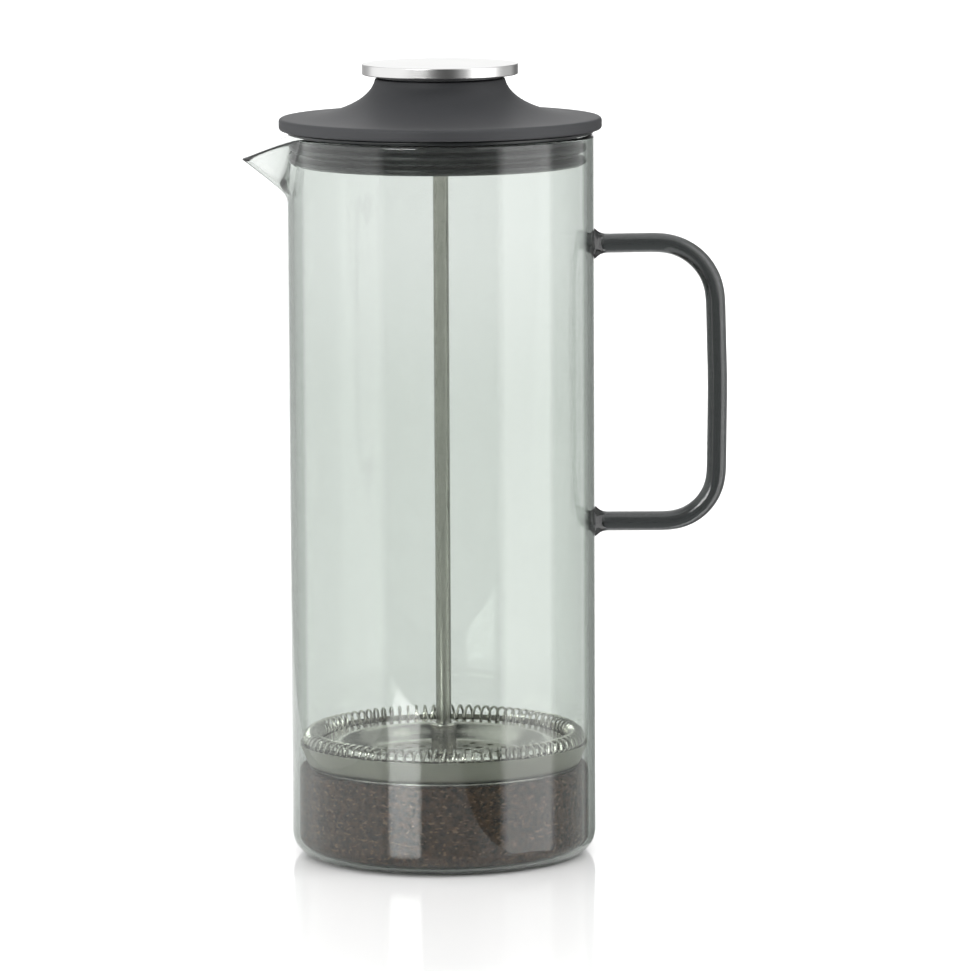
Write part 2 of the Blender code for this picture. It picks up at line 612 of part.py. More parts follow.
# ---- the whole press --------------------------------------------------------------------------------------
def main():
    clear_scene()
    glass = finish("smoked_glass", (0.80, 0.85, 0.82), 0.02, alpha=0.3)
    dark_glass = finish("dark_glass", (0.06, 0.065, 0.065), 0.03, alpha=0.8)
    plastic = finish("lid_plastic", (0.075, 0.077, 0.08), 0.6)
    inner_plastic = finish("inner_plastic", (0.05, 0.05, 0.05), 0.45)
    rubber = finish("seal_rubber", (0.03, 0.03, 0.03), 0.55)
    polished = finish("knob_steel", (0.82, 0.82, 0.82), 0.22, metallic=1.0)
    steel = finish("rod_steel", (0.66, 0.65, 0.61), 0.25, metallic=1.0)
    cloth = finish("mesh_steel", (0.55, 0.55, 0.50), 0.45, metallic=1.0)

    make_jug(glass)
    make_handle(dark_glass)

    make_lid_cover(plastic)
    make_lid_insert(inner_plastic)
    make_lid_seal(rubber)
    make_rod_bush(inner_plastic)
    make_rod_seal(rubber)
    make_bush_clip(steel)

    make_knob_disc(polished)
    make_knob_boss(steel)
    make_knob_pad(rubber)

    make_rod(steel)
    make_filter_hub(steel)
    ring("lock_washer", ROD_HOLE, WASHER_RADIUS, WASHER_BOTTOM, WASHER_BOTTOM + WASHER_THICKNESS, SMALL_STEPS, steel)
    make_spiral_plate(steel)
    make_edge_coil(steel)
    make_mesh_screen(cloth)
    ring("mesh_eyelet", ROD_HOLE, ROD_HOLE + EYELET_WIDTH, MESH_BOTTOM, MESH_TOP, SMALL_STEPS, steel)
    make_cross_plate(steel)
    make_cross_nut(steel)


main()
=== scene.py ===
# %% [markdown]
# # A French press, piece by piece
#
# A French press is a tall glass jug, a lid that plugs into its mouth, and a plunger: a steel rod with a
# knob on top and a stack of plates, a spring and fine mesh at its foot. Almost every piece is round, so
# almost every piece here is a profile turned about the vertical axis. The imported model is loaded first. It
# fixes where every piece goes, so all heights and radii below are read from it.

import bmesh
import bpy
import numpy as np
from mathutils import Matrix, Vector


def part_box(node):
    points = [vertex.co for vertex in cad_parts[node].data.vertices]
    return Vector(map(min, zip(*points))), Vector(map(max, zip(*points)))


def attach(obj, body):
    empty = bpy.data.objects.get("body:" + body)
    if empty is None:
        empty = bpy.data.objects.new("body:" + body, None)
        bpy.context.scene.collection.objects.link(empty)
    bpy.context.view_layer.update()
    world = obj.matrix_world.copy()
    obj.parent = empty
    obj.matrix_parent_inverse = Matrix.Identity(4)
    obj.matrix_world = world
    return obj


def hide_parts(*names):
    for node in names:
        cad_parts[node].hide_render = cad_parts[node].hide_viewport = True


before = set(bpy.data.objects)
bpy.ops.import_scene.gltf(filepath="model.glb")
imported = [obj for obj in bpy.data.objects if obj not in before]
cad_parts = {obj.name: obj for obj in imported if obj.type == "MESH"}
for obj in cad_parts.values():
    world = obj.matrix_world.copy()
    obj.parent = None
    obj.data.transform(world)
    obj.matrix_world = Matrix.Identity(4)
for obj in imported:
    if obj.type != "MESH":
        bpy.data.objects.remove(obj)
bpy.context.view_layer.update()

MM = 0.001


def low(node):
    """Height of a node's underside."""
    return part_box(node)[0][2]


def high(node):
    """Height of a node's top."""
    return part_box(node)[1][2]


def outer(node):
    """Outside radius of a round node."""
    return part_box(node)[1][1]


# %% [markdown]
# ## Camera
#
# A long lens from two metres away keeps the jug's sides nearly parallel. It stands a little above the lid
# and looks down about eight degrees, so the rims show as shallow ellipses.

# %% Camera
SENSOR, LENS = 36.0, 241.3
LOOKS_DOWN, ROLL = np.radians(7.80), np.radians(-0.288)
STANDS_AT = (13.95 * MM, -2110 * MM, 410.0 * MM)

camera_data = bpy.data.cameras.new("camera")
camera_data.sensor_width = SENSOR
camera_data.lens = LENS
camera = bpy.data.objects.new("camera", camera_data)
tilt = Matrix.Rotation(np.pi / 2 - LOOKS_DOWN, 4, "X") @ Matrix.Rotation(ROLL, 4, "Z")
camera.matrix_world = Matrix.Translation(STANDS_AT) @ tilt
bpy.context.scene.collection.objects.link(camera)
bpy.context.scene.camera = camera
print("camera at", [round(v, 3) for v in camera.location])

# %% [markdown]
# ## Shader maths
#
# A procedural finish is a small formula of positions and noise. Written with Blender's node calls, one line
# of maths takes ten lines of code. So a class wraps a node's output and overloads the operators, and each
# expression adds its own Math nodes. Colours go through Mix nodes instead, because a Math node would turn
# them grey.

# %% Values in a formula
class Value:
    """One output of a shader node, which can stand in a formula."""

    def __init__(self, finish, socket):
        self.finish, self.socket = finish, socket

    def maths(self, operation, *others):
        return self.finish.node("Math", {"operation": operation}, dict(enumerate((self, *others))))

    def __add__(self, other):
        return self.maths("ADD", other)

    def __sub__(self, other):
        return self.maths("SUBTRACT", other)

    def __rsub__(self, other):
        return self.finish.node("Math", {"operation": "SUBTRACT"}, {0: other, 1: self})

    def __mul__(self, other):
        return self.maths("MULTIPLY", other)

    def __pow__(self, other):
        return self.maths("POWER", other)

    __radd__ = __add__
    __rmul__ = __mul__

    def sine(self):
        return self.maths("SINE")

    def between(self, start, end):
        """0 below start, 1 above end, and an even rise from one to the other."""
        inputs = {"Value": self, "From Min": start, "From Max": end}
        return self.finish.node("MapRange", {}, inputs)

    def within(self, start, end, edge):
        """1 from start to end and 0 outside, with ramps of a given width centred on both."""
        rise = self.between(start - edge / 2, start + edge / 2)
        return rise * (1.0 - self.between(end - edge / 2, end + edge / 2))


print("values add, subtract, multiply and take powers")

# %% Node trees
class Nodes:
    """Builds one node tree. Every node is made by the method add."""

    def __init__(self, tree):
        self.tree = tree
        self.tree.nodes.clear()

    def add(self, kind, settings, inputs):
        """A new node. Its settings come first, then its inputs: numbers, colours or values."""
        made = self.tree.nodes.new("ShaderNode" + kind)
        for name, value in settings.items():
            setattr(made, name, value)
        for name, value in inputs.items():
            self.feed(made.inputs[name], value)
        return made

    def node(self, kind, settings, inputs, output=0):
        """One output of a new node."""
        return Value(self, self.add(kind, settings, inputs).outputs[output])

    def feed(self, socket, value):
        if isinstance(value, Value):
            self.tree.links.new(value.socket, socket)
        else:
            socket.default_value = value

    def split(self, vector):
        """The three numbers of a vector."""
        return [Value(self, socket) for socket in self.add("SeparateXYZ", {}, {0: vector}).outputs]

    def joined(self, x, y, z):
        return self.node("CombineXYZ", {}, {0: x, 1: y, 2: z})

    def noise(self, place, scale, detail=2.0, roughness=0.5):
        inputs = {"Vector": place, "Scale": scale, "Detail": detail, "Roughness": roughness}
        return self.node("TexNoise", {}, inputs)

    def stretched(self, place, x, y, z):
        """Places scaled by a different number along each axis."""
        return self.node("Mapping", {}, {"Vector": place, "Scale": (x, y, z)})

    def mixed(self, share, first, second):
        """first where share is 0 and second where it is 1. Both are colours."""
        first, second = (c if isinstance(c, Value) else (*c, 1.0) for c in (first, second))
        return self.node("Mix", {"data_type": "RGBA"}, {0: share, 6: first, 7: second}, output=2)


print("one method makes every node")

# %% Finishes
class Finish(Nodes):
    """A material with one Principled shader. Its constants are set on the shader's own sockets."""

    def __init__(self, name, **constants):
        self.material = bpy.data.materials.new(name)
        self.material.use_nodes = True
        super().__init__(self.material.node_tree)
        self.shader = self.add("BsdfPrincipled", {}, {})
        self.output = self.add("OutputMaterial", {}, {"Surface": Value(self, self.shader.outputs[0])})
        self.place = self.node("TexCoord", {}, {}, output="Object")
        self.looks(**constants)

    def looks(self, **inputs):
        """Feeds the shader's sockets. An underscore in a name stands for a space."""
        for socket, value in inputs.items():
            self.feed(self.shader.inputs[socket.replace("_", " ")], value)

    def bump(self, height, strength, distance):
        """Sends a height to the shader's normal. distance is the height of a full step, in metres."""
        bump = {"Height": height, "Strength": strength, "Distance": distance}
        self.looks(Normal=self.node("Bump", {}, bump))

    def absorb(self, colour, density):
        """Lets the light that crosses the solid lose colour with every millimetre."""
        inside = self.node("VolumeAbsorption", {}, {"Color": (*colour, 1.0), "Density": density})
        self.feed(self.output.inputs["Volume"], inside)


print("a finish turns formulas into nodes")

# %% [markdown]
# ## Studio
#
# The press stands on a white table in a white studio. The wall behind the camera is dark, and that is what
# makes glass readable: the jug's front mirrors the dark room, a soft box on each side with a dimmer one
# beyond the right one, and two narrow strips of light. Two dark flags stand behind it, one on each side,
# and draw the dark outline of the glass. The table is slightly glossy and mirrors the press. It ends a
# forearm's length in front of the press and just past the glass on the right. The floor beyond it is the
# same white but is left out of mirror images, so that the boxes and the flags reach down past the table's
# edge. The floor in front is matt.

# %% Table and sky
def white_floor(name, gloss):
    """White with a faint cloud of a second white. gloss says how strongly it mirrors."""
    made = Finish(name, IOR=1.45, Specular_IOR_Level=gloss)
    fine = made.noise(made.place, 900.0, 3.0)
    wide = made.noise(made.place, 6.0, 2.0)
    made.looks(Base_Color=made.mixed(wide, (0.965, 0.965, 0.965), (0.98, 0.98, 0.975)))
    made.looks(Roughness=0.07 + 0.03 * fine)
    return made.material


def floor_sheet(name, rectangles, finish):
    """Flat rectangles (from x, to x, from y, to y) in metres, just under the jug."""
    under_jug = -0.05 * MM
    corners = []
    for x0, x1, y0, y1 in rectangles:
        corners += [(x0, y0, under_jug), (x1, y0, under_jug), (x1, y1, under_jug), (x0, y1, under_jug)]
    mesh = bpy.data.meshes.new(name)
    mesh.from_pydata(corners, [], np.arange(len(corners)).reshape(-1, 4).tolist())
    mesh.materials.append(finish)
    made = bpy.data.objects.new(name, mesh)
    bpy.context.scene.collection.objects.link(made)
    return made


# The table's edges, in metres from the jug's axis, and how far the floor reaches.
FRONT, LEFT, RIGHT, FAR = -0.35, -0.22, 0.052, 30.0
glossy, matt = white_floor("table_white", 0.45), white_floor("room_white", 0.0)
floor_sheet("table", [(LEFT, RIGHT, FRONT, FAR)], glossy)
beside = floor_sheet("floor_beside", [(-FAR, LEFT, FRONT, FAR), (RIGHT, FAR, FRONT, FAR)], glossy)
in_front = floor_sheet("floor_in_front", [(-FAR, FAR, -FAR, FRONT)], matt)
beside.visible_glossy = in_front.visible_glossy = False


def sky(white, dark, panels):
    """A white dome with a dark wall in front and soft-edged panels of light.

    A direction's bearing is 0 towards the camera, plus to the right, and its climb is its angle above the
    table. A panel is (bearing from, to, climb from, to, edge, brightness), and the angles are in degrees.
    It hides what lies behind it.
    """
    world = bpy.data.worlds.new("studio")
    world.use_nodes = True
    bpy.context.scene.world = world
    made = Nodes(world.node_tree)
    x, y, z = made.split(made.node("TexCoord", {}, {}, output="Generated"))
    bearing = x.maths("ARCTAN2", 0.0 - y) * (180 / np.pi)
    climb = z.maths("ARCSINE") * (180 / np.pi)
    light, dark_wall = white, (-50, 50, -90, 52, 6, dark)
    for start, end, bottom, top, edge, brightness in [dark_wall, *panels]:
        share = bearing.within(start, end, edge) * climb.within(bottom, top, edge)
        light = light + share * (brightness - light)
    colour = made.joined(light, light, light)
    background = made.node("Background", {}, {"Color": colour, "Strength": 1.0})
    made.add("OutputWorld", {}, {"Surface": background})


soft_box_left = (-124, -45, -80, 60, 8, 1.8)
soft_box_right = (46, 92, -80, 60, 8, 3.3)
edge_box_right = (92, 132, -80, 60, 8, 0.8)
strip_left = (-42, -18, 4, 26, 3, 11.0)
strip_right = (27, 46, -3.6, 50, 3, 1.2)
flag_left = (-164, -126, -80, 40, 6, 0.60)
flag_right = (134, 166, -80, 40, 6, 0.18)
lights = [soft_box_left, soft_box_right, edge_box_right, strip_left, strip_right]
sky(1.45, 0.06, [*lights, flag_left, flag_right])
bpy.context.scene.view_settings.view_transform = "Standard"
print("a table, a dome,", len(lights), "lights and two flags")

# %% [markdown]
# ## Surfaces from numpy
#
# Each piece is a grid of points: one direction follows a profile, the other goes round the axis. The whole
# grid is worked out at once as an array. A profile starts as a few corners with a fillet each, because that
# is how a turner or a mould maker draws it.

# %% Pieces from grids
def full_turn(count):
    """Equal angles once round the axis."""
    return np.linspace(0, 2 * np.pi, count, endpoint=False)


def polar_points(r, turn, z):
    """A list of points x = r cos t, y = r sin t and z."""
    grids = np.broadcast_arrays(r * np.cos(turn), r * np.sin(turn), z)
    return np.stack(grids, axis=-1).reshape(-1, 3)


def grid_faces(rows, columns, wrap_rows=False, wrap_columns=True):
    """Quads between neighbours of a grid in which point (i, j) has number i * columns + j."""
    i = np.arange(rows if wrap_rows else rows - 1)[:, None]
    j = np.arange(columns if wrap_columns else columns - 1)[None, :]
    below, beside = (i + 1) % rows, (j + 1) % columns
    corners = [i * columns + j, below * columns + j, below * columns + beside, i * columns + beside]
    return np.stack(np.broadcast_arrays(*corners), axis=-1).reshape(-1, 4)


def make_piece(name, points, faces, sharp=40.0):
    """A closed mesh with its faces pointing out. They are turned round if its volume comes out negative.

    Six times the volume is the sum of a . (b x c + c x d) over all quads.
    """
    a, b, c, d = (points[faces[:, k]] for k in range(4))
    if (a * (np.cross(b, c) + np.cross(c, d))).sum() < 0:
        faces = faces[:, ::-1]
    mesh = bpy.data.meshes.new(name)
    mesh.from_pydata(points.tolist(), [], faces.tolist())
    welded = bmesh.new()
    welded.from_mesh(mesh)
    bmesh.ops.remove_doubles(welded, verts=welded.verts, dist=1e-7)
    welded.to_mesh(mesh)
    welded.free()
    mesh.shade_smooth()
    mesh.set_sharp_from_angle(angle=np.radians(sharp))
    made = bpy.data.objects.new(name, mesh)
    bpy.context.scene.collection.objects.link(made)
    return made


print("five rings of eight points have", len(grid_faces(5, 8)), "faces between them")

# %% Profiles with fillets
def rounded(corners, steps=6, guard=0.15 * MM):
    """Points (r, z) through corners (r, z, fillet). A corner becomes an arc that touches both its sides.

    The arc is centre + (start * sin((1 - t) turn) + end * sin(t turn)) / sin(turn) for t from 0 to 1. One
    more point just outside each end of the arc keeps the flats flat when they are shaded smooth.
    """
    corners = np.array(corners, float)
    place, fillet = corners[:, :2], corners[:, 2:]
    before, after = np.roll(place, 1, axis=0) - place, np.roll(place, -1, axis=0) - place
    long_before = np.linalg.norm(before, axis=1, keepdims=True)
    long_after = np.linalg.norm(after, axis=1, keepdims=True)
    u, v = before / long_before, after / long_after
    half = np.arccos(np.clip((u * v).sum(axis=1, keepdims=True), -0.999999, 0.999999)) / 2
    reach = fillet / np.tan(half)
    # Where the profile runs straight on, u + v is 0, and the corner stays where it is.
    middle = (u + v) / np.maximum(np.linalg.norm(u + v, axis=1, keepdims=True), 1e-12)
    centre = place + middle * fillet / np.sin(half)
    start, end = place + u * reach - centre, place + v * reach - centre
    turn = (np.pi - 2 * half)[:, None, :]
    t = np.linspace(0, 1, steps + 1)[None, :, None]
    start, end = start[:, None], end[:, None]
    arc = centre[:, None] + (start * np.sin((1 - t) * turn) + end * np.sin(t * turn)) / np.sin(turn)
    spare = reach + np.where(fillet > 0, guard, 0)
    # Where a side has no room for the spare point, the arc's own end stands in for it.
    first = np.where(spare > 0.48 * long_before, arc[:, 0], place + u * spare)
    last = np.where(spare > 0.48 * long_after, arc[:, -1], place + v * spare)
    points = np.concatenate([first[:, None], arc, last[:, None]], axis=1).reshape(-1, 2)
    apart = np.linalg.norm(points - np.roll(points, 1, axis=0), axis=1) > 1e-8
    apart[0] = True
    return points[apart]


print("a square corner with a fillet takes", len(rounded([(0, 0, 0), (1, 0, 0.1), (1, 1, 0)])), "points")

# %% Turned pieces and bent tubes
def turned(name, profile, around=192, closed=True, **options):
    """A profile (r, z) carried round the vertical axis. An open one starts and ends on the axis."""
    points = polar_points(profile[:, :1], full_turn(around), profile[:, 1:])
    return make_piece(name, points, grid_faces(len(profile), around, wrap_rows=closed), **options)


def ring_profile(inner, outside, bottom, top, fillet):
    """A rectangle with four equal fillets, for washers, pads and sleeves."""
    corners = [(inner, bottom), (outside, bottom), (outside, top), (inner, top)]
    return rounded([(*corner, fillet) for corner in corners])


print("a washer's profile has", len(ring_profile(3 * MM, 8 * MM, 0, 1 * MM, 0.2 * MM)), "points")


def tube(path, radius, across, sides, closed=False):
    """Points and faces of a tube. Each ring is centre + radius (n cos a + b sin a).

    n is the vector across with its part along the path taken out, and b is square to both.
    """
    ahead = np.roll(path, -1, axis=0) - np.roll(path, 1, axis=0) if closed else np.gradient(path, axis=0)
    ahead = ahead / np.linalg.norm(ahead, axis=1, keepdims=True)
    n = across - (across * ahead).sum(axis=1, keepdims=True) * ahead
    n = n / np.linalg.norm(n, axis=1, keepdims=True)
    b = np.cross(ahead, n)
    a = full_turn(sides)[None, :, None]
    ring = n[:, None] * np.cos(a) + b[:, None] * np.sin(a)
    points = path[:, None] + np.reshape(radius, (-1, 1, 1)) * ring
    return points.reshape(-1, 3), grid_faces(len(path), sides, wrap_rows=closed)


def fit(piece, finish, body, slot, *nodes):
    """Gives a piece its finish and the body it rides on, and lets it stand for its CAD nodes."""
    piece.data.materials.clear()
    piece.data.materials.append(finish.material)
    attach(piece, body)
    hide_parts(*nodes)
    print(piece.name, len(piece.data.polygons), "faces, stands for", ", ".join(nodes))


# %% [markdown]
# ## Jug
#
# The jug is blown borosilicate glass, tinted a faint grey-green. Its tint lies in the glass and not on it,
# so the shader lets light lose a little colour on its way through. That darkens the edges by itself,
# because there the light travels the long way along the wall. The wall also carries the faint upright waves
# of drawn glass.

# %% Tinted glass
def tinted_glass(name, colour, density, waviness, painted_shade):
    """Upright waves, a little dust, and painted light: white at the rim and a darker colour lower down."""
    made = Finish(name, Transmission_Weight=1.0, IOR=1.474)
    waves = made.noise(made.stretched(made.place, 60.0, 60.0, 5.0), 1.0, 2.0)
    dust = made.noise(made.place, 240.0, 4.0)
    height = made.split(made.place)[2]
    # Painted light: the colour is white near the rim and turns to the painted shade lower down.
    painted_rim_light = (height + 0.02 * waves).between(0.160, 0.212)
    made.looks(Base_Color=made.mixed(painted_rim_light, painted_shade, (1.0, 1.0, 1.0)))
    made.looks(Roughness=0.012 * dust.between(0.45, 0.8))
    made.bump(waves, 0.25, waviness)
    made.absorb(colour, density)
    return made


# The last colour is the painted shade of the jug's lower part.
jug_finish = tinted_glass("smoked_glass", (0.25, 0.325, 0.27), 200.0, 0.12 * MM, (0.93, 0.94, 0.93))
print("light loses most red and least green in the wall")

# %% [markdown]
# The spout is pulled out of the rim while the glass is soft. Seen from above it is a narrow beak with a
# rounded point, and seen from the side its underside is nearly straight while its lip dips. One number from
# 0 to 1 says how far a point of the wall is pulled, and the same number moves it outwards and down, so the
# wall keeps its thickness.

# %% Jug wall, base and spout
jug_radius, rim_height = outer("jug_glass"), high("jug_glass")
WALL, FLOOR = 2.2 * MM, 1.7 * MM
SPOUT_HEIGHT, SPOUT_REACH, SPOUT_DROP = 22.0 * MM, 15.0 * MM, 7.7 * MM


def spout_pull(bearing, height):
    """rise * across, from 0 to 1.

    rise grows along a rounded ramp from the spout's root up to the rim. across falls off as (1 - s)^1.7, with
    s the share of the beak's half angle, which itself widens from 12 to 23 degrees.
    """
    share = np.clip((height - (rim_height - SPOUT_HEIGHT)) / SPOUT_HEIGHT, 0, 1)
    soft_root, soft_ridge = 0.14, 0.16
    rise = (np.hypot(share, soft_root) - soft_root) / (np.hypot(1, soft_root) - soft_root)
    half = np.radians(12 + 11 * share)
    s = np.hypot(bearing / half, soft_ridge) - soft_ridge
    return rise * np.clip(1 - s, 0, 1) ** 1.7


def jug_points(profile, around):
    """The profile carried round the axis and pulled: r + reach * pull and z - drop * pull.

    An even angle t becomes the bearing pi (t / pi)^1.25, so the columns lie closer together near the spout.
    """
    turn = np.linspace(-np.pi, np.pi, around, endpoint=False)
    bearing = np.sign(turn) * np.abs(turn / np.pi) ** 1.25 * np.pi
    r, z = profile[:, :1], profile[:, 1:]
    pull = spout_pull(bearing, z) * (r > 0.6 * jug_radius)
    r = r + SPOUT_REACH * pull
    z = z - SPOUT_DROP * pull
    return np.stack([-r * np.cos(bearing), r * np.sin(bearing), z], axis=-1).reshape(-1, 3)


def make_jug():
    """One closed profile: the underside with its punt, up the outside, over the rim and down the inside."""
    bore, root, punt, around = jug_radius - WALL, rim_height - SPOUT_HEIGHT, 0.5 * MM, 360
    rim, outer_corner, inner_corner = 1.09 * MM, 7.0 * MM, 5.0 * MM
    edge = [(jug_radius, root, 0), (jug_radius, rim_height, rim), (bore, rim_height, rim), (bore, root, 0)]
    under = [(0, punt, 0), (26 * MM, punt, 20 * MM), (33 * MM, 0, 12 * MM)]
    under += [(jug_radius, 0, outer_corner), (jug_radius, root, 0)]
    inside = [(bore, root, 0), (bore, FLOOR, inner_corner), (30 * MM, FLOOR, 20 * MM), (0, FLOOR + punt, 0)]
    levels = np.linspace(root - 2 * MM, rim_height - 1.6 * MM, 44)
    climb = np.column_stack([np.full(len(levels), jug_radius), levels])
    rows = [rounded(under)[:-1], climb, rounded(edge)[1:-1], climb[::-1] - (WALL, 0), rounded(inside)[1:]]
    profile = np.concatenate(rows)
    return make_piece("glass_jug", jug_points(profile, around), grid_faces(len(profile), around))


jug = make_jug()
fit(jug, jug_finish, "jug", "smoked_glass", "jug_glass")

# %% [markdown]
# ## Handle
#
# The handle is a solid glass rod, bent hot and fused to the wall. Its finish has a darker and much denser
# tint than the wall's, so it looks almost black. At each end the rod swells into a flared foot where the two
# glasses have run together.

# %% Bent rod with flared feet
handle_finish = tinted_glass("dark_glass", (0.10, 0.12, 0.12), 600.0, 0.05 * MM, (1.0, 1.0, 1.0))

ROD = 3.2 * MM
FOOT_SWELL, FOOT_LENGTH = 0.65, 4.8 * MM
foot = ROD * (1 + FOOT_SWELL)
arm_top, arm_bottom = high("jug_handle") - foot, low("jug_handle") + foot
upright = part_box("jug_handle")[1][0] - ROD


def even_path(points, count, soften):
    """Points at equal steps along a path, each averaged with its neighbours so that its bends ease in."""
    along = np.concatenate([[0], np.cumsum(np.linalg.norm(np.diff(points, axis=0), axis=1))])
    steps = np.linspace(0, along[-1], count)
    path = np.stack([np.interp(steps, along, points[:, k]) for k in range(points.shape[1])], axis=1)
    kernel = np.hanning(soften + 2)[1:-1]
    kernel = kernel / kernel.sum()
    padded = np.pad(path, ((soften // 2, soften // 2), (0, 0)), mode="reflect", reflect_type="odd")
    return np.stack([np.convolve(padded[:, k], kernel, mode="valid") for k in range(path.shape[1])], axis=1)


def make_handle():
    """A tube along a bent path, with radius ROD (1 + FOOT_SWELL (1 - s)^3) at a share s of the foot."""
    start = jug_radius - 0.9 * MM
    middle = (arm_top + arm_bottom) / 2
    upper_bend, lower_bend, bow = 19.0 * MM, 16.5 * MM, 300 * MM
    corners = [(start, arm_top - 0.3 * MM, 0), (upright - 1.1 * MM, arm_top + 0.2 * MM, upper_bend)]
    corners += [(upright, middle, bow), (upright - 0.6 * MM, arm_bottom, lower_bend), (start, arm_bottom, 0)]
    flat = even_path(rounded(corners, steps=24, guard=0), count=261, soften=19)
    path = np.column_stack([flat[:, 0], 0 * flat[:, 0], flat[:, 1]])
    from_wall = np.clip((path[:, 0] - jug_radius) / FOOT_LENGTH, 0, 1)
    radius = ROD * (1 + FOOT_SWELL * (1 - from_wall) ** 3)
    # Both ends close in a point.
    tip = (1e-6, 0, 0)
    path = np.concatenate([path[:1] - tip, path, path[-1:] + tip])
    radius = np.concatenate([[0], radius, [0]])
    across = np.tile((0.0, 1.0, 0.0), (len(path), 1))
    return make_piece("glass_handle", *tube(path, radius, across, sides=40))


handle = make_handle()
fit(handle, handle_finish, "jug", "dark_glass", "jug_handle")

# %% [markdown]
# ## Lid cover
#
# The cover is one moulding of matt grey plastic: a flat brim, a flare that sweeps up like a quarter of an
# ellipse, and a neck that the knob rests on. It is hollow below. A fine spark-eroded grain in the mould
# gives it its dry look, so the finish carries a grain and a few soft scuffs.

# %% Matt moulded plastic
def matt_plastic(name, dark, light, roughness, grain):
    """A fine grain of a given height over a soft cloud of two greys."""
    made = Finish(name, IOR=1.46, Specular_IOR_Level=0.45)
    fine = made.noise(made.place, 3200.0, 2.0, 0.6)
    cloudy = made.noise(made.place, 35.0, 3.0)
    made.looks(Base_Color=made.mixed(cloudy.between(0.3, 0.7), dark, light))
    made.looks(Roughness=roughness + 0.10 * (fine - 0.5) + 0.06 * (cloudy - 0.5))
    made.bump(fine + 0.25 * cloudy, 0.35, grain)
    return made


cover_finish = matt_plastic("lid_plastic", (0.023, 0.024, 0.0265), (0.028, 0.029, 0.0315), 0.60, 0.06 * MM)
print("two greys and a fine grain")

# %% Cover
def make_cover():
    """One closed profile: the neck's edge, down the flare, round the brim, up the inside and down the well.

    The flare is a quarter of an ellipse: r = foot + a cos t and z = centre + b sin t. The inside is the same
    quarter made bigger by the shell's thickness.
    """
    brim, neck, well, shell = outer("lid_cover"), 21.05 * MM, 6.45 * MM, 2.4 * MM
    bottom, top, well_bottom = high("lid_seal") + 0.3 * MM, high("lid_cover"), low("lid_cover")
    brim_top, sweep, cut = bottom + 4.0 * MM, 13.5 * MM, 0.9 * MM
    foot, centre, ceiling = brim - 2.5 * MM, brim_top + sweep, top - shell
    socket, inside_top, tube_wall = outer("lid_insert") + 0.3 * MM, brim_top - shell, well + 2 * MM
    angle = np.linspace(np.pi + np.arcsin(cut / sweep), 1.5 * np.pi, 40)
    flare = np.column_stack([foot + (foot - neck) * np.cos(angle), centre + sweep * np.sin(angle)])
    # The first three points give way to the fillet of the neck's edge.
    flare = flare[3:]
    angle = np.linspace(1.04 * np.pi, 1.27 * np.pi, 16)
    reach, drop = foot - neck + shell, sweep + shell
    inner = np.column_stack([foot + reach * np.cos(angle), centre + drop * np.sin(angle)])
    inner = inner[(inner[:, 0] < socket - shell) & (inner[:, 1] < ceiling - 0.8 * MM)]
    neck_edge = [(well, top - 4 * MM, 0), (well, top, 0.4 * MM), (neck, top, 0.35 * MM), (*flare[0], 0)]
    lip = [(foot, brim_top, 0), (brim, brim_top - 0.1 * MM, 1.1 * MM), (brim, bottom, 1.0 * MM)]
    lip += [(socket, bottom, 0.3 * MM), (socket, inside_top, 0)]
    tube_end = [(*inner[0], 0), (inner[0, 0], ceiling, 0.5 * MM), (tube_wall, ceiling, 0.5 * MM)]
    tube_end += [(tube_wall, well_bottom, 0.3 * MM), (well, well_bottom, 0.3 * MM), (well, top - 4 * MM, 0)]
    outside = [rounded(neck_edge)[:-1], flare, rounded(lip)[1:-1]]
    under = [[(socket, inside_top)], inner[::-1], rounded(tube_end)[1:-1]]
    return turned("lid_cover_moulding", np.concatenate(outside + under), around=256)


cover = make_cover()
fit(cover, cover_finish, "lid", "lid_plastic", "lid_cover")

# %% [markdown]
# ## Seal and insert
#
# A soft silicone ring hugs the lid's insert and presses its lips against the glass. Its flange sits on the
# rim. Silicone is darker and a little oilier than the plastic, so its finish is smoother. The insert is the
# cup that closes the lid from below. It carries the bush that guides the rod.

# %% Silicone
def silicone(name, colour, roughness):
    """A smear of two close greys with a fine grain."""
    made = Finish(name, IOR=1.42)
    fine = made.noise(made.place, 700.0, 3.0)
    smear = made.noise(made.place, 45.0, 2.0)
    lighter = tuple(1.15 * c for c in colour)
    made.looks(Base_Color=made.mixed(smear, colour, lighter))
    made.looks(Roughness=roughness + 0.08 * (smear - 0.5))
    made.bump(fine, 0.10, 0.02 * MM)
    return made


seal_finish = silicone("seal_rubber", (0.009, 0.011, 0.011), 0.30)
insert_finish = matt_plastic("inner_plastic", (0.022, 0.023, 0.024), (0.028, 0.029, 0.030), 0.45, 0.03 * MM)
print("rubber for the seal, smoother plastic for the insert")

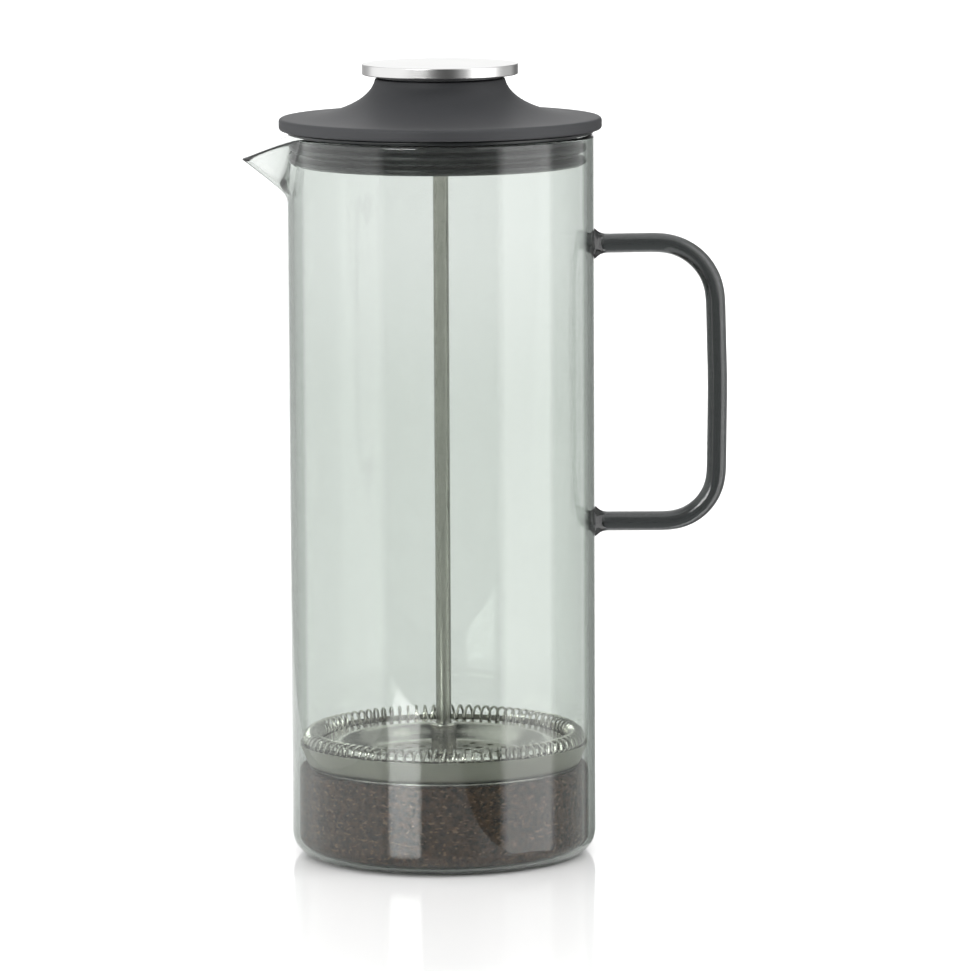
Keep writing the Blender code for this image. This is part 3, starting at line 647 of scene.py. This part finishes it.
# %% Seal with two lips
def make_seal():
    """A flange on top of a sleeve with two lips. A lip's upper side slopes back to the groove above it."""
    bottom, top, flange = low("lid_seal"), high("lid_seal"), outer("lid_seal")
    lip_radius, lips, step, flange_bottom = 47.5 * MM, 2, 4.1 * MM, top - 0.9 * MM
    groove, bore = lip_radius - 3.0 * MM, lip_radius - 4.7 * MM
    corners = [(bore, bottom, 0.4 * MM)]
    for lip in range(lips):
        base = bottom + lip * step
        corners += [(groove + 1.4 * MM, base, 0.8 * MM), (lip_radius, base + 0.9 * MM, 0.55 * MM)]
        corners += [(lip_radius - 0.1 * MM, base + 2.1 * MM, 0.5 * MM), (groove, base + 3.0 * MM, 0.6 * MM)]
        if lip < lips - 1:
            corners += [(groove, base + step - 0.3 * MM, 0.3 * MM)]
    corners += [(groove, flange_bottom, 0.4 * MM), (flange, flange_bottom, 0.3 * MM)]
    corners += [(flange, top, 0.3 * MM), (bore, top, 0.3 * MM)]
    return turned("seal_ring", rounded(corners), around=256)


seal = make_seal()
fit(seal, seal_finish, "seal", "seal_rubber", "lid_seal")

# %% Insert, bush and rubber ring
def make_insert():
    """A cup with a boss in the middle of its floor."""
    bottom, top, outside = low("lid_insert"), high("lid_insert"), outer("lid_insert")
    rim, wall = high("lid_seal") + 1.6 * MM, 2 * MM
    floor_top, bore, boss = bottom + wall, 4.8 * MM, 5.9 * MM
    corners = [(bore, bottom, 0.3 * MM), (outside, bottom, 1.0 * MM), (outside, rim, 0.4 * MM)]
    corners += [(outside - wall, rim, 0.4 * MM), (outside - wall, floor_top, 1.5 * MM)]
    corners += [(boss, floor_top, 1.5 * MM), (boss, top, 0.3 * MM), (bore, top, 0.3 * MM)]
    return turned("lid_insert_cup", rounded(corners), around=192)


def make_bush():
    """A flanged sleeve with a seat at its top for the rubber ring."""
    bottom, top = low("rod_bush"), high("rod_bush")
    bore, sleeve, seat, flange = 2.65 * MM, 4.5 * MM, 4.05 * MM, outer("rod_bush")
    flange_top, seat_floor = bottom + 1 * MM, top - 1.4 * MM
    corners = [(bore, bottom, 0.2 * MM), (flange, bottom, 0.35 * MM), (flange, flange_top, 0.2 * MM)]
    corners += [(sleeve, flange_top, 0.1 * MM), (sleeve, top, 0.15 * MM), (seat, top, 0.1 * MM)]
    corners += [(seat, seat_floor, 0.1 * MM), (bore, seat_floor, 0.1 * MM)]
    return turned("rod_guide_bush", rounded(corners, steps=3), around=96)


def make_rod_ring():
    """A torus: a circle of cord carried round the rod."""
    bottom, top = low("rod_seal"), high("rod_seal")
    middle, cord = (bottom + top) / 2, (top - bottom) / 2
    turn = full_turn(20)
    centre = outer("rod_seal") - cord
    circle = np.column_stack([centre + cord * np.cos(turn), middle + cord * np.sin(turn)])
    return turned("rod_rubber_ring", circle, around=96)


fit(make_insert(), insert_finish, "lid", "inner_plastic", "lid_insert")
fit(make_bush(), insert_finish, "lid", "inner_plastic", "rod_bush")
fit(make_rod_ring(), seal_finish, "lid", "seal_rubber", "rod_seal")

# %% [markdown]
# ## Steel
#
# Three steels are on show. The knob is brushed on a lathe, so its scratches are circles on the top and
# lines round the side. The rod and the plates are polished, with long faint draw lines. The mesh is woven
# from fine wire, which looks like satin from a distance. Brushing is a noise that changes fast across the
# scratches and slowly along them.

# %% Brushed and polished steel
def turned_steel(name, colour, roughness, scratches, depth):
    """Scratches are a noise of the distance from the axis and the height, and change little round it."""
    made = Finish(name, Metallic=1.0)
    x, y, z = made.split(made.place)
    radius = (x * x + y * y) ** 0.5
    sweep = made.joined(radius * scratches, z * scratches, (x + y) * 12.0)
    lines = made.noise(sweep, 1.0, 3.0, 0.6)
    cloudy = made.noise(made.place, 60.0, 2.0)
    darker = tuple(0.9 * c for c in colour)
    made.looks(Base_Color=made.mixed(lines, darker, colour))
    made.looks(Roughness=roughness + 0.12 * (lines - 0.5) + 0.05 * (cloudy - 0.5))
    made.bump(lines, 0.35, depth)
    return made


knob_finish = turned_steel("knob_steel", (0.53, 0.53, 0.525), 0.30, 9000.0, 0.012 * MM)
plate_finish = turned_steel("plate_steel", (0.62, 0.61, 0.56), 0.22, 2600.0, 0.010 * MM)


def drawn_steel(name, colour, roughness):
    """Long lines along the rod: the noise is stretched more than a hundred times along Z."""
    made = Finish(name, Metallic=1.0)
    lines = made.noise(made.stretched(made.place, 2400.0, 2400.0, 18.0), 1.0, 2.0)
    film = made.noise(made.place, 45.0, 3.0)
    made.looks(Base_Color=made.mixed(film, colour, tuple(0.88 * c for c in colour)))
    made.looks(Roughness=roughness + 0.10 * (lines - 0.5) + 0.05 * film)
    made.bump(lines, 0.2, 0.006 * MM)
    return made


rod_finish = drawn_steel("rod_steel", (0.36, 0.36, 0.32), 0.11)
print("three steels, and the mesh's cloth comes with its piece")

# %% [markdown]
# ## Knob and rod
#
# The knob is a plain disc with small bevelled edges on a threaded boss, which drops into the lid's neck. A
# thin pad keeps steel from clicking on plastic. The rod screws into the boss and carries the filter on a
# collared hub.

# %% Knob, pad, boss and rod
ROD_HOLE = 2.8 * MM


def solid_profile(node, fillet):
    """A cylinder of a node's size, from axis to axis, with filleted edges."""
    radius, bottom, top = outer(node), low(node), high(node)
    return rounded([(0, bottom, 0), (radius, bottom, fillet), (radius, top, fillet), (0, top, 0)])


def washer_profile(node, bore, fillet):
    """A flat ring of a node's size."""
    return ring_profile(bore, outer(node), low(node), high(node), fillet)


def make_boss():
    """A round cap with a blind hole that the rod screws into."""
    bottom, top, outside = low("knob_boss"), high("knob_boss"), outer("knob_boss")
    roof = top - 1 * MM
    corners = [(0, top, 0), (outside, top, 0.3 * MM), (outside, bottom, 0.5 * MM)]
    corners += [(ROD_HOLE, bottom, 0.3 * MM), (ROD_HOLE, roof, 0.1 * MM), (0, roof, 0)]
    return turned("knob_thread_boss", rounded(corners, steps=3), around=96, closed=False)


knob = turned("knob_plate", solid_profile("knob_disc", 0.35 * MM), around=256, closed=False)
pad = turned("knob_soft_pad", washer_profile("knob_pad", 5.6 * MM, 0.15 * MM), around=160)
rod = turned("rod_shaft", solid_profile("plunger_rod", 0.4 * MM), around=64, closed=False)
pad_finish = silicone("pad_rubber", (0.050, 0.052, 0.054), 0.5)
fit(knob, knob_finish, "plunger", "knob_steel", "knob_disc")
fit(make_boss(), plate_finish, "plunger", "rod_steel", "knob_boss")
fit(pad, pad_finish, "plunger", "seal_rubber", "knob_pad")
fit(rod, rod_finish, "plunger", "rod_steel", "plunger_rod")

# %% Hub and washer
def make_hub():
    """A sleeve with a collar round its top."""
    bottom, top, collar = low("filter_hub"), high("filter_hub"), outer("filter_hub")
    body, collar_bottom = collar - 0.4 * MM, top - 1.2 * MM
    corners = [(ROD_HOLE, bottom, 0.2 * MM), (body, bottom, 0.3 * MM), (body, top - 1.5 * MM, 0.15 * MM)]
    corners += [(collar, collar_bottom, 0.2 * MM), (collar, top - 0.4 * MM, 0.25 * MM)]
    corners += [(collar - 0.6 * MM, top, 0.2 * MM), (ROD_HOLE, top, 0.2 * MM)]
    return turned("hub_sleeve", rounded(corners, steps=4), around=96)


hub = make_hub()
washer = turned("hub_washer", washer_profile("lock_washer", ROD_HOLE, 0.12 * MM), around=96)
fit(hub, plate_finish, "plunger", "rod_steel", "filter_hub")
fit(washer, plate_finish, "filter", "rod_steel", "lock_washer")

# %% [markdown]
# ## Plates
#
# Both plates are punched from sheet. A punched plate is a grid too: each cell of the grid is kept or left
# out, the kept cells are copied to the top and the bottom, and a wall closes every edge between a kept cell
# and a gap. To get round holes, the grid lines near each hole are bent onto a circle.

# %% A sheet with cells left out
def punched(name, radius, turn, height, thickness, keep, **options):
    """A plate from a polar grid: rows run outwards and columns round the axis.

    keep says which cells between two rows exist.
    """
    rows, columns = turn.shape
    count = rows * columns
    bottom = polar_points(radius, turn, height)
    points = np.concatenate([bottom, bottom + (0, 0, thickness)])
    lower = grid_faces(rows, columns).reshape(rows - 1, columns, 4)[keep]

    def walls(first, second, turned_round):
        """Quads that join the edges from first to second on the bottom to the same edges on the top."""
        one, other = np.where(turned_round, [second, first], [first, second])
        return np.stack([one, other, other + count, one + count], axis=1)

    gap = np.zeros((1, columns), bool)
    kept = np.concatenate([gap, keep, gap])
    i, j = np.nonzero(kept[1:] != kept[:-1])
    rings = walls(i * columns + j, i * columns + (j + 1) % columns, ~kept[1:][i, j])
    i, j = np.nonzero(keep != np.roll(keep, 1, axis=1))
    spokes = walls((i + 1) * columns + j, i * columns + j, ~keep[i, j])
    quads = np.concatenate([lower, lower[:, ::-1] + count, rings, spokes])
    used, faces = np.unique(quads, return_inverse=True)
    return make_piece(name, points[used], faces.reshape(-1, 4), **options)


print("a plate is a grid with cells left out")

# %% Spiral plate with rings of round holes
HOLES, HOLE_RINGS, HOLE = 24, np.array([13.0, 19.0, 25.0]) * MM, 1.2 * MM
CELLS = 8


def hole_grid():
    """Radii and angles of a polar grid whose lines are bent onto circles round each hole.

    Within a cell of side 2, a point (a, b) at distance m = max(|a|, |b|) from the middle keeps its place at
    m = 1. Up to m = 0.5 it moves to the circle of radius HOLE m / 0.5, and between the two it slides from one
    to the other.
    """
    half_width, half_turn = 3.0 * MM, np.pi / HOLES
    side = np.linspace(-1, 1, CELLS + 1)
    a, b = np.meshgrid(side, side, indexing="ij")
    m = np.maximum(np.abs(a), np.abs(b))
    length = np.maximum(np.hypot(a, b), 1e-9)
    radii, turns = [], []
    for ring in HOLE_RINGS:
        square = np.stack([a * half_width, b * half_turn * ring])
        circle = np.stack([a, b]) / length * HOLE * np.minimum(m / 0.5, 1)
        share = np.clip((m - 0.5) / 0.5, 0, 1) ** 0.8
        bent = circle * (1 - share) + square * share
        radii.append(ring + bent[0])
        turns.append(bent[1] / ring)
    middle = (np.arange(HOLES) + 0.5) * 2 * np.pi / HOLES
    radius = np.concatenate([np.tile(r[:, :-1], (1, HOLES)) for r in radii])
    turn = np.concatenate([(t[:, None, :-1] + middle[None, :, None]).reshape(CELLS + 1, -1) for t in turns])
    distance = np.abs(side[:-1] + 1 / CELLS)
    open_cell = (distance[:, None] < 0.5) & (distance[None, :] < 0.5)
    gap = np.zeros((1, CELLS), bool)
    keep = np.concatenate([~np.tile(np.concatenate([open_cell, gap]), (1, HOLES))] * len(HOLE_RINGS))
    return radius, turn, keep[:-1]


RIM, SLOPE, RISE = 4.9 * MM, 6.8 * MM, 5.2 * MM


def spiral_height(radius):
    """Flat, then a smooth step up to the raised rim: rise (3 s^2 - 2 s^3) with s the share of the slope."""
    s = np.clip((radius - outer("spiral_plate") + RIM + SLOPE) / SLOPE, 0, 1)
    return low("spiral_plate") + RISE * s * s * (3 - 2 * s)


def make_spiral_plate():
    """Rows of the grid run from the rod's hole, through the rings of holes, to the raised rim."""
    radius, turn, keep = hole_grid()
    columns = radius.shape[1]
    inner = np.array([ROD_HOLE, 3.6 * MM, 6.5 * MM])[:, None]
    slope = np.linspace(28.4, 38.6, 22) * MM
    outside = np.concatenate([slope, [39.3 * MM, outer("spiral_plate")]])[:, None]
    first, last = np.tile(turn[:1], (len(inner), 1)), np.tile(turn[-1:], (len(outside), 1))
    radius = np.concatenate([inner + 0 * first, radius, outside + 0 * last])
    turn = np.concatenate([first, turn, last])
    keep = np.pad(keep, ((len(inner), len(outside)), (0, 0)), constant_values=True)
    return punched("spring_plate", radius, turn, spiral_height(radius), 0.7 * MM, keep, sharp=50)


fit(make_spiral_plate(), plate_finish, "filter", "rod_steel", "spiral_plate")

# %% Cross plate with windows
def make_cross_plate():
    """Polar grid with lines at every spoke's edge. Between the spokes, cells from ring to ring are left out.

    Within a sector a share from -0.75 to 0.75 covers the window evenly. The rest covers half a spoke.
    """
    windows, spoke, window_share = 6, 4.0 * MM, 0.75
    edge, ring, core = outer("cross_plate"), 38.5 * MM, 11.0 * MM
    near_rod, near_edge = [ROD_HOLE, 3.2 * MM, 7.0 * MM], [40.0 * MM, 43.4 * MM, 44.1 * MM, edge]
    radii = np.concatenate([near_rod, np.linspace(core, ring, 12), near_edge])
    share = np.linspace(-1, 1, 25)[:-1]
    sector, radius = np.pi / windows, radii[:, None]
    spoke_half = np.arcsin(spoke / 2 / np.maximum(radius, core))
    window = share / window_share * (sector - spoke_half)
    rest = np.sign(share) * (sector - spoke_half * (1 - np.abs(share)) / (1 - window_share))
    within = np.where(np.abs(share) <= window_share + 0.001, window, rest)
    turn = (within[:, None, :] + (np.arange(windows) * 2 * sector)[None, :, None]).reshape(len(radii), -1)
    open_across = np.tile(np.abs(share + 1 / len(share)) < window_share, windows)
    open_along = (radii[:-1] > core - 1e-6) & (radii[1:] < ring + 1e-6)
    keep = ~(open_along[:, None] & open_across[None, :])
    return punched("carrier_plate", radius, turn, low("cross_plate"), 0.8 * MM, keep)


fit(make_cross_plate(), plate_finish, "filter", "rod_steel", "cross_plate")

# %% [markdown]
# ## Spring coil
#
# A long coil of thin wire is bent into a ring round the spiral plate's edge. It presses the mesh against
# the glass all round. As a shape it is a helix wound on a ring, with ninety-two turns.

# %% Wire coil
def make_coil():
    """Centreline: ring radius R + a cos(n t) and height c + a sin(n t) at bearing t, with n whole turns."""
    turns, wire, steps = 92, 0.45 * MM, 22
    a = (high("edge_coil") - low("edge_coil")) / 2 - wire
    centre, height = outer("edge_coil") - a - wire, (high("edge_coil") + low("edge_coil")) / 2
    t = full_turn(turns * steps)
    path = polar_points(centre + a * np.cos(turns * t), t, height + a * np.sin(turns * t))
    ring = polar_points(centre, t, height)
    return make_piece("spring_coil", *tube(path, wire, path - ring, sides=8, closed=True))


fit(make_coil(), plate_finish, "filter", "rod_steel", "edge_coil")

# %% [markdown]
# ## Mesh
#
# The mesh is stainless cloth pressed into a shallow dish whose wall leans out to the glass. Its wires are a
# tenth of a millimetre thick, far too fine to model one by one, so the weave lives in the finish. The piece
# carries its own flat pattern: each point keeps its bearing and takes its distance along the cloth from the
# middle, as if the dish were pressed flat again.

# %% Woven cloth finish
PITCH = 0.32 * MM


def woven_steel():
    """Wires are sin(2 pi u / pitch) and the same of v. Half that rate tells which of two lies on top."""
    made = Finish("mesh_steel", Metallic=0.85)
    cloth = made.node("Attribute", {"attribute_name": "cloth"}, {}, output="Vector")
    u, v = made.split(cloth)[:2]
    rate = 2 * np.pi / PITCH
    warp, weft = (u * rate).sine(), (v * rate).sine()
    over = (u * (rate / 2)).sine() * (v * (rate / 2)).sine()
    wires = warp * 0.5 + weft * 0.5 + over * 0.4
    stain = made.noise(made.place, 70.0, 4.0)
    # Painted shade and highlight: the cloth is lighter where a wire rides high and darker where it dips under
    # its neighbour.
    painted_weave_shade = made.mixed(wires.between(-1.0, 1.0), (0.42, 0.415, 0.35), (0.72, 0.71, 0.63))
    cloth_colour = made.mixed(0.35 * stain, painted_weave_shade, (0.50, 0.49, 0.41))
    # Painted highlight: a near-white ring on the cloth near the foot of its leaning wall.
    painted_fold_highlight = ((u * u + v * v) ** 0.5).within(44.1 * MM, 44.5 * MM, 0.2 * MM)
    made.looks(Base_Color=made.mixed(painted_fold_highlight, cloth_colour, (0.97, 0.97, 0.93)))
    made.looks(Roughness=0.48 + 0.12 * stain)
    made.bump(wires, 0.5, 0.05 * MM)
    return made


print("a wire every", round(PITCH / MM, 2), "mm")

# %% Mesh dish and eyelet
def lay_cloth(piece, profile_start):
    """Writes the flat pattern: (s cos t, s sin t, 0), with s the distance along the cloth from its middle."""
    count = len(piece.data.vertices)
    co = np.empty(count * 3)
    piece.data.vertices.foreach_get("co", co)
    x, y, z = co.reshape(-1, 3).T
    radius = np.hypot(x, y)
    s = radius + np.clip(z - profile_start, 0, None)
    pattern = np.stack([s * x / radius, s * y / radius, 0 * s], axis=1)
    piece.data.attributes.new("cloth", "FLOAT_VECTOR", "POINT").data.foreach_set("vector", pattern.ravel())


def make_mesh_dish():
    """A flat disc with a leaning wall.

    Measured level, the leaning cloth is 1.06 times as thick at the edge, and 0.82 times at the inner foot.
    """
    bottom, top, edge = low("mesh_screen"), high("mesh_screen"), outer("mesh_screen")
    foot, thick, hole = edge - 2.8 * MM, 0.4 * MM, 5.0 * MM
    floor_top, inner_edge, inner_foot = bottom + thick, edge - thick * 1.06, foot - thick * 0.82
    corners = [(hole, bottom, 0.1 * MM), (foot, bottom, 1.5 * MM), (edge, top, 0.18 * MM)]
    corners += [(inner_edge, top, 0.18 * MM), (inner_foot, floor_top, 1.1 * MM), (hole, floor_top, 0.1 * MM)]
    return turned("mesh_dish", rounded(corners), around=288)


dish = make_mesh_dish()
lay_cloth(dish, low("mesh_screen"))
fit(dish, woven_steel(), "filter", "mesh_steel", "mesh_screen")
eyelet = turned("mesh_eye_ring", washer_profile("mesh_eyelet", ROD_HOLE, 0.15 * MM), around=96)
fit(eyelet, plate_finish, "filter", "rod_steel", "mesh_eyelet")

# %% [markdown]
# ## Nut and clip
#
# Two small bought-in parts finish the plunger and the lid: a hexagon nut under the carrier plate, with its
# corners chamfered, and a split spring clip that grips the bush inside the lid.

# %% Hexagon nut
def make_nut():
    """A hexagon is r = flat / cos(angle from the nearest flat). A cone cuts r off near both ends."""
    bottom, tall, corner, around = low("cross_nut"), 3.9 * MM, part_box("cross_nut")[1][0], 144
    turn = full_turn(around)
    to_flat = corner * np.cos(np.pi / 6)
    hexagon = to_flat / np.cos(np.mod(turn, np.pi / 3) - np.pi / 6)
    low_end, middle, high_end = np.linspace(0, 0.5, 8), np.linspace(0.6, 3.3, 4), np.linspace(3.4, 3.9, 8)
    heights = np.concatenate([low_end, middle, high_end]) * MM
    cone = to_flat + 1.6 * np.minimum(heights, tall - heights)[:, None] - 0.05 * MM
    hole = np.full((1, around), ROD_HOLE)
    mouth = hole + 0.3 * MM
    flat = np.concatenate([mouth, np.minimum(hexagon[None, :], cone), mouth, hole, hole])
    z = np.concatenate([[0], heights, [tall, tall - 0.3 * MM, 0.3 * MM]])[:, None] + bottom
    points = polar_points(flat, turn, z)
    return make_piece("carrier_nut", points, grid_faces(len(flat), around, wrap_rows=True), sharp=25)


fit(make_nut(), plate_finish, "filter", "rod_steel", "cross_nut")

# %% Split clip
def make_clip():
    """A flat ring with a gap, carried along an arc. At both ends its section shrinks to a point."""
    section = washer_profile("bush_clip", 4.65 * MM, 0.12 * MM)
    turn = np.radians(np.linspace(0, 310, 120))[:, None]
    point = section.mean(axis=0) + 0 * section
    rings = np.concatenate([[point], np.tile(section, (len(turn), 1, 1)), [point]])
    turn = np.concatenate([turn[:1], turn, turn[-1:]])
    points = polar_points(rings[..., 0], turn, rings[..., 1])
    return make_piece("bush_spring_clip", points, grid_faces(len(turn), len(section)))


fit(make_clip(), plate_finish, "lid", "rod_steel", "bush_clip")

# %% [markdown]
# ## Coffee
#
# Ground coffee lies under the filter. It is what the press holds and not a piece of it, so it is a prop,
# staged like the table.

# %% Ground coffee
def coffee_finish():
    """Dark and light grains, with a few pale chips among them."""
    made = Finish("coffee_grounds", IOR=1.35)
    coarse = made.noise(made.place, 520.0, 3.0, 0.65)
    fine = made.noise(made.place, 1900.0, 3.0, 0.7)
    chips = made.noise(made.stretched(made.place, 1.0, 1.0, 2.2), 560.0, 1.0)
    base = made.mixed(coarse.between(0.38, 0.62), (0.026, 0.013, 0.007), (0.120, 0.064, 0.038))
    made.looks(Base_Color=made.mixed(0.8 * chips.between(0.62, 0.68), base, (0.30, 0.175, 0.110)))
    made.looks(Roughness=0.65 + 0.25 * fine)
    made.bump(coarse + 0.6 * fine, 0.6, 0.3 * MM)
    return made


def make_coffee():
    """A filled cylinder. Random numbers, the same every run, push its side in and its top up and down."""
    radius, bottom, top, around = 47.55 * MM, FLOOR + 0.6 * MM, low("cross_plate") + 0.1 * MM, 480
    corners = [(0, bottom, 0), (radius, bottom, 5.0 * MM)]
    corners += [(radius, z, 0) for z in np.linspace(bottom + 5.4 * MM, top - 2 * MM, 36)]
    corners += [(radius, top, 1.0 * MM), (45.0 * MM, top, 0)]
    corners += [(43.0 * MM, top - 1.2 * MM, 0), (0, top - 1.2 * MM, 0)]
    profile = rounded(corners, guard=0)
    r, z = profile[:, :1], profile[:, 1:]
    grain = np.random.default_rng(7).normal(0, 1, (len(profile), around))
    grain = (grain + np.roll(grain, 1, 0) + np.roll(grain, 1, 1) + np.roll(grain, (1, 1), (0, 1))) / 2
    in_by = 0.12 * MM * np.abs(grain) * (r > 10 * MM)
    up_by = 0.10 * MM * grain * (z > top - 2 * MM) * (r > 1 * MM)
    points = polar_points(r - in_by, full_turn(around), z + up_by)
    return make_piece("ground_coffee", points, grid_faces(len(profile), around), sharp=180)


coffee = make_coffee()
coffee.data.materials.append(coffee_finish().material)
print("coffee fills the jug to", round(low("cross_plate") / MM, 1), "mm")
